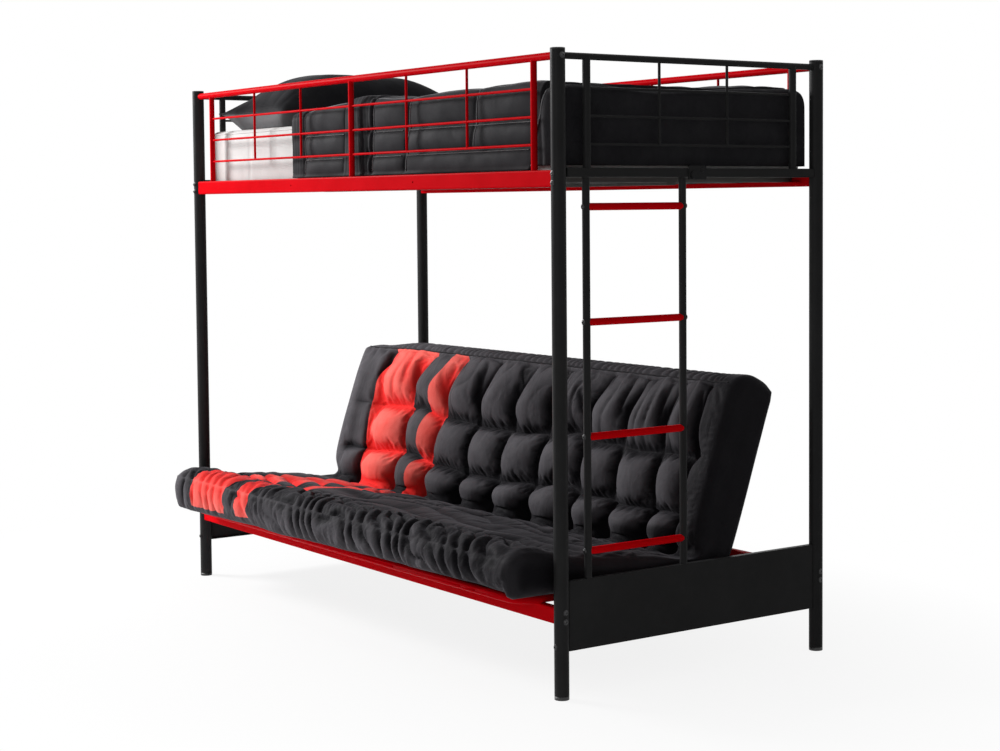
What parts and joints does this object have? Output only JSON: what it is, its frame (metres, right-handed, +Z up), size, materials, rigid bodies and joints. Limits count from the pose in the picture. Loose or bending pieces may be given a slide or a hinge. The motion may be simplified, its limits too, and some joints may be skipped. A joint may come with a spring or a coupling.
{
  "type": "futon bunk bed",
  "caption": "Single bunk bed over a folding futon sofa, in a steel tube frame with guard rails, an end ladder and bedding.",
  "frame": {"origin": "On the floor, under the middle of the bed's outline with the futon folded up as a sofa", "axes": "+X runs along the bed to the ladder end, +Y from the open front to the back, +Z up"},
  "size_m": [2.1696, 1.1067, 1.7723],
  "materials": {
    "red_enamel": "gloss",
    "dark_red_enamel": "gloss",
    "black_enamel": "satin",
    "black_bolt": "satin",
    "zinc_steel": "satin",
    "black_plastic": "satin",
    "slat_wood": "matte",
    "white_ticking": "matte",
    "charcoal_quilting": "matte",
    "black_throw_cloth": "matte",
    "dark_pillow_cloth": "matte",
    "futon_twill": "matte"
  },
  "bodies": {
    "bed": {"post_front_left": "black_enamel", "post_cap_front_left": "black_plastic", "post_foot_front_left": "black_plastic", "guard_bolt_front_left": "black_bolt", "rail_bolt_upper_front_left": "black_bolt", "rail_bolt_lower_front_left": "black_bolt", "post_rear_left": "black_enamel", "post_cap_rear_left": "black_plastic", "post_foot_rear_left": "black_plastic", "guard_bolt_rear_left": "black_bolt", "rail_bolt_upper_rear_left": "black_bolt", "rail_bolt_lower_rear_left": "black_bolt", "end_frame_left": "black_enamel", "end_panel_left": "black_enamel", "slide_track_left": "black_enamel", "post_front_right": "black_enamel", "post_cap_front_right": "black_plastic", "post_foot_front_right": "black_plastic", "guard_bolt_front_right": "black_bolt", "rail_bolt_upper_front_right": "black_bolt", "rail_bolt_lower_front_right": "black_bolt", "post_rear_right": "black_enamel", "post_cap_rear_right": "black_plastic", "post_foot_rear_right": "black_plastic", "guard_bolt_rear_right": "black_bolt", "rail_bolt_upper_rear_right": "black_bolt", "rail_bolt_lower_rear_right": "black_bolt", "end_frame_right": "black_enamel", "end_panel_right": "black_enamel", "slide_track_right": "black_enamel", "side_rail_front": "red_enamel", "guard_rail_front": "red_enamel", "futon_rail_front": "dark_red_enamel", "ladder_upright_front": "black_enamel", "side_rail_rear": "red_enamel", "guard_rail_rear": "red_enamel", "futon_rail_rear": "dark_red_enamel", "ladder_upright_rear": "black_enamel", "ladder_rung_1": "red_enamel", "ladder_rung_2": "red_enamel", "ladder_rung_3": "red_enamel", "ladder_rung_4": "red_enamel", "ladder_hook": "black_enamel", "upper_slat_base": "slat_wood", "upper_mattress": "white_ticking", "upper_quilt": "charcoal_quilting", "bed_throw": "black_throw_cloth", "pillow": "dark_pillow_cloth"},
    "seat": {"seat_frame": "red_enamel", "seat_grille": "black_enamel", "seat_mattress": "futon_twill", "seat_glide_left": "black_plastic", "seat_glide_right": "black_plastic", "hinge_pin_left": "zinc_steel", "hinge_pin_right": "zinc_steel"},
    "back": {"back_frame": "red_enamel", "back_grille": "black_enamel", "back_mattress": "futon_twill"}
  },
  "joints": [
    {"name": "futon_slide", "type": "slide", "parent": "bed", "child": "seat", "axis": [0, -1, 0], "range_m": [0, 0.26]},
    {"name": "back_recline", "type": "hinge", "parent": "seat", "child": "back", "pos_m": [0, 0.23385, 0.258], "axis": [-1, 0, 0], "range_deg": [0, 70.5]}
  ],
  "couplings": [
    {"joint": "back_recline", "follows": "futon_slide", "rad_per_m": 4.699}
  ]
}
